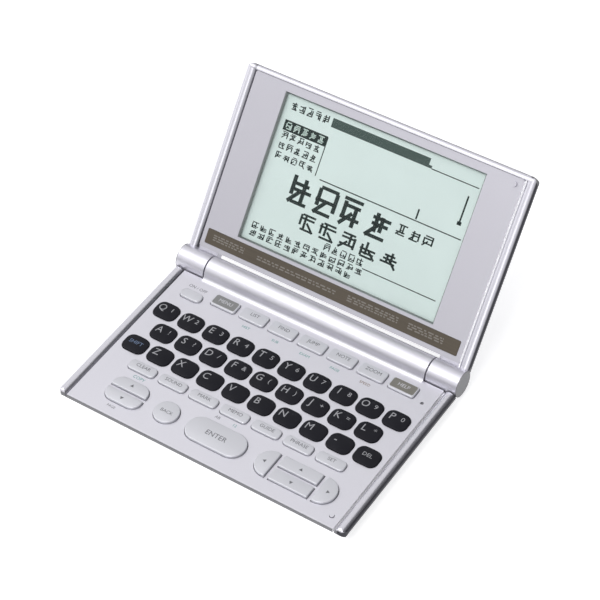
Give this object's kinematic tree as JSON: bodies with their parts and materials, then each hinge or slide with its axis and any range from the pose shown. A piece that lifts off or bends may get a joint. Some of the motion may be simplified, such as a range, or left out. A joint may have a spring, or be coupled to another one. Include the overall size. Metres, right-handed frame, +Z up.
{
  "type": "electronic dictionary",
  "caption": "Clamshell pocket electronic dictionary: keyboard half with domed letter keys, round barrel hinge, and an open lid with a large display behind a wide bezel.",
  "frame": {"origin": "on the table, in the middle of the bounding box with the lid as it stands", "axes": "+X to the user's right, +Y away from the user, +Z up; the hinge line runs along X"},
  "size_m": [0.142, 0.1488, 0.0783],
  "materials": {
    "silver_case": "satin silver paint on moulded plastic",
    "bezel": "satin silver paint, a shade darker than the deck",
    "key_black": "near-black domed plastic, softly glossy",
    "key_silver": "pale silver painted plastic",
    "small_parts": "grey plastic",
    "steel": "plain steel",
    "feet_rubber": "dark rubber",
    "mat_rubber": "grey silicone rubber",
    "board": "green circuit board with black chips",
    "cell_jacket": "printed metal jacket, no markings",
    "strip": "dark bronze metallic strip",
    "window": "clear acrylic",
    "panel": "pale green-grey reflective display",
    "ribbon": "amber film"
  },
  "bodies": {
    "base": {"lower_case": "silver_case", "upper_case": "silver_case", "key_mat": "mat_rubber", "main_board": "board", "batteries": "cell_jacket", "battery_contacts": "steel", "rubber_feet": "feet_rubber", "case_screws": "steel", "hinge_pin_left": "steel", "hinge_pin_right": "steel"},
    "lid": {"lid_cover": "silver_case", "lid_bezel": "bezel", "trim_strip": "strip", "display_window": "window", "lcd_panel": "panel", "display_ribbon": "ribbon", "lid_screws": "steel"},
    "battery_cover": {"battery_cover": "silver_case"},
    "reset_button": {"reset_button": "small_parts"},
    "lid_switch": {"lid_switch": "small_parts"},
    "function_keys": {"function_keys": "key_silver"},
    "entry_keys": {"entry_keys": "key_silver"},
    "key_q": {"key_q": "key_black"},
    "key_w": {"key_w": "key_black"},
    "key_e": {"key_e": "key_black"},
    "key_r": {"key_r": "key_black"},
    "key_t": {"key_t": "key_black"},
    "key_y": {"key_y": "key_black"},
    "key_u": {"key_u": "key_black"},
    "key_i": {"key_i": "key_black"},
    "key_o": {"key_o": "key_black"},
    "key_p": {"key_p": "key_black"},
    "key_a": {"key_a": "key_black"},
    "key_s": {"key_s": "key_black"},
    "key_d": {"key_d": "key_black"},
    "key_f": {"key_f": "key_black"},
    "key_g": {"key_g": "key_black"},
    "key_h": {"key_h": "key_black"},
    "key_j": {"key_j": "key_black"},
    "key_k": {"key_k": "key_black"},
    "key_l": {"key_l": "key_black"},
    "key_shift": {"key_shift": "key_black"},
    "key_z": {"key_z": "key_black"},
    "key_x": {"key_x": "key_black"},
    "key_c": {"key_c": "key_black"},
    "key_v": {"key_v": "key_black"},
    "key_b": {"key_b": "key_black"},
    "key_n": {"key_n": "key_black"},
    "key_m": {"key_m": "key_black"},
    "key_dash": {"key_dash": "key_black"},
    "key_delete": {"key_delete": "key_black"},
    "power_key": {"power_key": "key_silver"},
    "page_up_key": {"page_up_key": "key_silver"},
    "page_down_key": {"page_down_key": "key_silver"},
    "back_key": {"back_key": "key_silver"},
    "enter_key": {"enter_key": "key_silver"},
    "cursor_left_key": {"cursor_left_key": "key_silver"},
    "cursor_up_key": {"cursor_up_key": "key_silver"},
    "cursor_down_key": {"cursor_down_key": "key_silver"},
    "cursor_right_key": {"cursor_right_key": "key_silver"}
  },
  "joints": [
    {"name": "lid_hinge", "type": "hinge", "parent": "base", "child": "lid", "pos_m": [0, 0.01558, 0.00915], "axis": [-1, 0, 0], "range_deg": [-129, 36]},
    {"name": "battery_cover_slide", "type": "slide", "parent": "base", "child": "battery_cover", "axis": [0, 1, 0], "range_m": [0, 0.012]},
    {"name": "reset_button_press", "type": "slide", "parent": "base", "child": "reset_button", "axis": [0, 0, -1], "range_m": [0, 0.0006], "stiffness_N_per_m": 1000, "springref_m": -0.0003},
    {"name": "lid_switch_press", "type": "slide", "parent": "base", "child": "lid_switch", "axis": [0, 0, -1], "range_m": [0, 0.0006], "stiffness_N_per_m": 1000, "springref_m": -0.0003},
    {"name": "function_keys_press", "type": "slide", "parent": "base", "child": "function_keys", "axis": [0, 0, -1], "range_m": [0, 0.0006], "stiffness_N_per_m": 2000, "springref_m": -0.0003},
    {"name": "entry_keys_press", "type": "slide", "parent": "base", "child": "entry_keys", "axis": [0, 0, -1], "range_m": [0, 0.0006], "stiffness_N_per_m": 2000, "springref_m": -0.0003},
    {"name": "key_q_press", "type": "slide", "parent": "base", "child": "key_q", "axis": [0, 0, -1], "range_m": [0, 0.0006], "stiffness_N_per_m": 1000, "springref_m": -0.0003},
    {"name": "key_w_press", "type": "slide", "parent": "base", "child": "key_w", "axis": [0, 0, -1], "range_m": [0, 0.0006], "stiffness_N_per_m": 1000, "springref_m": -0.0003},
    {"name": "key_e_press", "type": "slide", "parent": "base", "child": "key_e", "axis": [0, 0, -1], "range_m": [0, 0.0006], "stiffness_N_per_m": 1000, "springref_m": -0.0003},
    {"name": "key_r_press", "type": "slide", "parent": "base", "child": "key_r", "axis": [0, 0, -1], "range_m": [0, 0.0006], "stiffness_N_per_m": 1000, "springref_m": -0.0003},
    {"name": "key_t_press", "type": "slide", "parent": "base", "child": "key_t", "axis": [0, 0, -1], "range_m": [0, 0.0006], "stiffness_N_per_m": 1000, "springref_m": -0.0003},
    {"name": "key_y_press", "type": "slide", "parent": "base", "child": "key_y", "axis": [0, 0, -1], "range_m": [0, 0.0006], "stiffness_N_per_m": 1000, "springref_m": -0.0003},
    {"name": "key_u_press", "type": "slide", "parent": "base", "child": "key_u", "axis": [0, 0, -1], "range_m": [0, 0.0006], "stiffness_N_per_m": 1000, "springref_m": -0.0003},
    {"name": "key_i_press", "type": "slide", "parent": "base", "child": "key_i", "axis": [0, 0, -1], "range_m": [0, 0.0006], "stiffness_N_per_m": 1000, "springref_m": -0.0003},
    {"name": "key_o_press", "type": "slide", "parent": "base", "child": "key_o", "axis": [0, 0, -1], "range_m": [0, 0.0006], "stiffness_N_per_m": 1000, "springref_m": -0.0003},
    {"name": "key_p_press", "type": "slide", "parent": "base", "child": "key_p", "axis": [0, 0, -1], "range_m": [0, 0.0006], "stiffness_N_per_m": 1000, "springref_m": -0.0003},
    {"name": "key_a_press", "type": "slide", "parent": "base", "child": "key_a", "axis": [0, 0, -1], "range_m": [0, 0.0006], "stiffness_N_per_m": 1000, "springref_m": -0.0003},
    {"name": "key_s_press", "type": "slide", "parent": "base", "child": "key_s", "axis": [0, 0, -1], "range_m": [0, 0.0006], "stiffness_N_per_m": 1000, "springref_m": -0.0003},
    {"name": "key_d_press", "type": "slide", "parent": "base", "child": "key_d", "axis": [0, 0, -1], "range_m": [0, 0.0006], "stiffness_N_per_m": 1000, "springref_m": -0.0003},
    {"name": "key_f_press", "type": "slide", "parent": "base", "child": "key_f", "axis": [0, 0, -1], "range_m": [0, 0.0006], "stiffness_N_per_m": 1000, "springref_m": -0.0003},
    {"name": "key_g_press", "type": "slide", "parent": "base", "child": "key_g", "axis": [0, 0, -1], "range_m": [0, 0.0006], "stiffness_N_per_m": 1000, "springref_m": -0.0003},
    {"name": "key_h_press", "type": "slide", "parent": "base", "child": "key_h", "axis": [0, 0, -1], "range_m": [0, 0.0006], "stiffness_N_per_m": 1000, "springref_m": -0.0003},
    {"name": "key_j_press", "type": "slide", "parent": "base", "child": "key_j", "axis": [0, 0, -1], "range_m": [0, 0.0006], "stiffness_N_per_m": 1000, "springref_m": -0.0003},
    {"name": "key_k_press", "type": "slide", "parent": "base", "child": "key_k", "axis": [0, 0, -1], "range_m": [0, 0.0006], "stiffness_N_per_m": 1000, "springref_m": -0.0003},
    {"name": "key_l_press", "type": "slide", "parent": "base", "child": "key_l", "axis": [0, 0, -1], "range_m": [0, 0.0006], "stiffness_N_per_m": 1000, "springref_m": -0.0003},
    {"name": "key_shift_press", "type": "slide", "parent": "base", "child": "key_shift", "axis": [0, 0, -1], "range_m": [0, 0.0006], "stiffness_N_per_m": 1000, "springref_m": -0.0003},
    {"name": "key_z_press", "type": "slide", "parent": "base", "child": "key_z", "axis": [0, 0, -1], "range_m": [0, 0.0006], "stiffness_N_per_m": 1000, "springref_m": -0.0003},
    {"name": "key_x_press", "type": "slide", "parent": "base", "child": "key_x", "axis": [0, 0, -1], "range_m": [0, 0.0006], "stiffness_N_per_m": 1000, "springref_m": -0.0003},
    {"name": "key_c_press", "type": "slide", "parent": "base", "child": "key_c", "axis": [0, 0, -1], "range_m": [0, 0.0006], "stiffness_N_per_m": 1000, "springref_m": -0.0003},
    {"name": "key_v_press", "type": "slide", "parent": "base", "child": "key_v", "axis": [0, 0, -1], "range_m": [0, 0.0006], "stiffness_N_per_m": 1000, "springref_m": -0.0003},
    {"name": "key_b_press", "type": "slide", "parent": "base", "child": "key_b", "axis": [0, 0, -1], "range_m": [0, 0.0006], "stiffness_N_per_m": 1000, "springref_m": -0.0003},
    {"name": "key_n_press", "type": "slide", "parent": "base", "child": "key_n", "axis": [0, 0, -1], "range_m": [0, 0.0006], "stiffness_N_per_m": 1000, "springref_m": -0.0003},
    {"name": "key_m_press", "type": "slide", "parent": "base", "child": "key_m", "axis": [0, 0, -1], "range_m": [0, 0.0006], "stiffness_N_per_m": 1000, "springref_m": -0.0003},
    {"name": "key_dash_press", "type": "slide", "parent": "base", "child": "key_dash", "axis": [0, 0, -1], "range_m": [0, 0.0006], "stiffness_N_per_m": 1000, "springref_m": -0.0003},
    {"name": "key_delete_press", "type": "slide", "parent": "base", "child": "key_delete", "axis": [0, 0, -1], "range_m": [0, 0.0006], "stiffness_N_per_m": 1000, "springref_m": -0.0003},
    {"name": "power_key_press", "type": "slide", "parent": "base", "child": "power_key", "axis": [0, 0, -1], "range_m": [0, 0.0006], "stiffness_N_per_m": 1000, "springref_m": -0.0003},
    {"name": "page_up_key_press", "type": "slide", "parent": "base", "child": "page_up_key", "axis": [0, 0, -1], "range_m": [0, 0.0006], "stiffness_N_per_m": 1000, "springref_m": -0.0003},
    {"name": "page_down_key_press", "type": "slide", "parent": "base", "child": "page_down_key", "axis": [0, 0, -1], "range_m": [0, 0.0006], "stiffness_N_per_m": 1000, "springref_m": -0.0003},
    {"name": "back_key_press", "type": "slide", "parent": "base", "child": "back_key", "axis": [0, 0, -1], "range_m": [0, 0.0006], "stiffness_N_per_m": 1000, "springref_m": -0.0003},
    {"name": "enter_key_press", "type": "slide", "parent": "base", "child": "enter_key", "axis": [0, 0, -1], "range_m": [0, 0.0006], "stiffness_N_per_m": 1000, "springref_m": -0.0003},
    {"name": "cursor_left_key_press", "type": "slide", "parent": "base", "child": "cursor_left_key", "axis": [0, 0, -1], "range_m": [0, 0.0006], "stiffness_N_per_m": 1000, "springref_m": -0.0003},
    {"name": "cursor_up_key_press", "type": "slide", "parent": "base", "child": "cursor_up_key", "axis": [0, 0, -1], "range_m": [0, 0.0006], "stiffness_N_per_m": 1000, "springref_m": -0.0003},
    {"name": "cursor_down_key_press", "type": "slide", "parent": "base", "child": "cursor_down_key", "axis": [0, 0, -1], "range_m": [0, 0.0006], "stiffness_N_per_m": 1000, "springref_m": -0.0003},
    {"name": "cursor_right_key_press", "type": "slide", "parent": "base", "child": "cursor_right_key", "axis": [0, 0, -1], "range_m": [0, 0.0006], "stiffness_N_per_m": 1000, "springref_m": -0.0003}
  ]
}
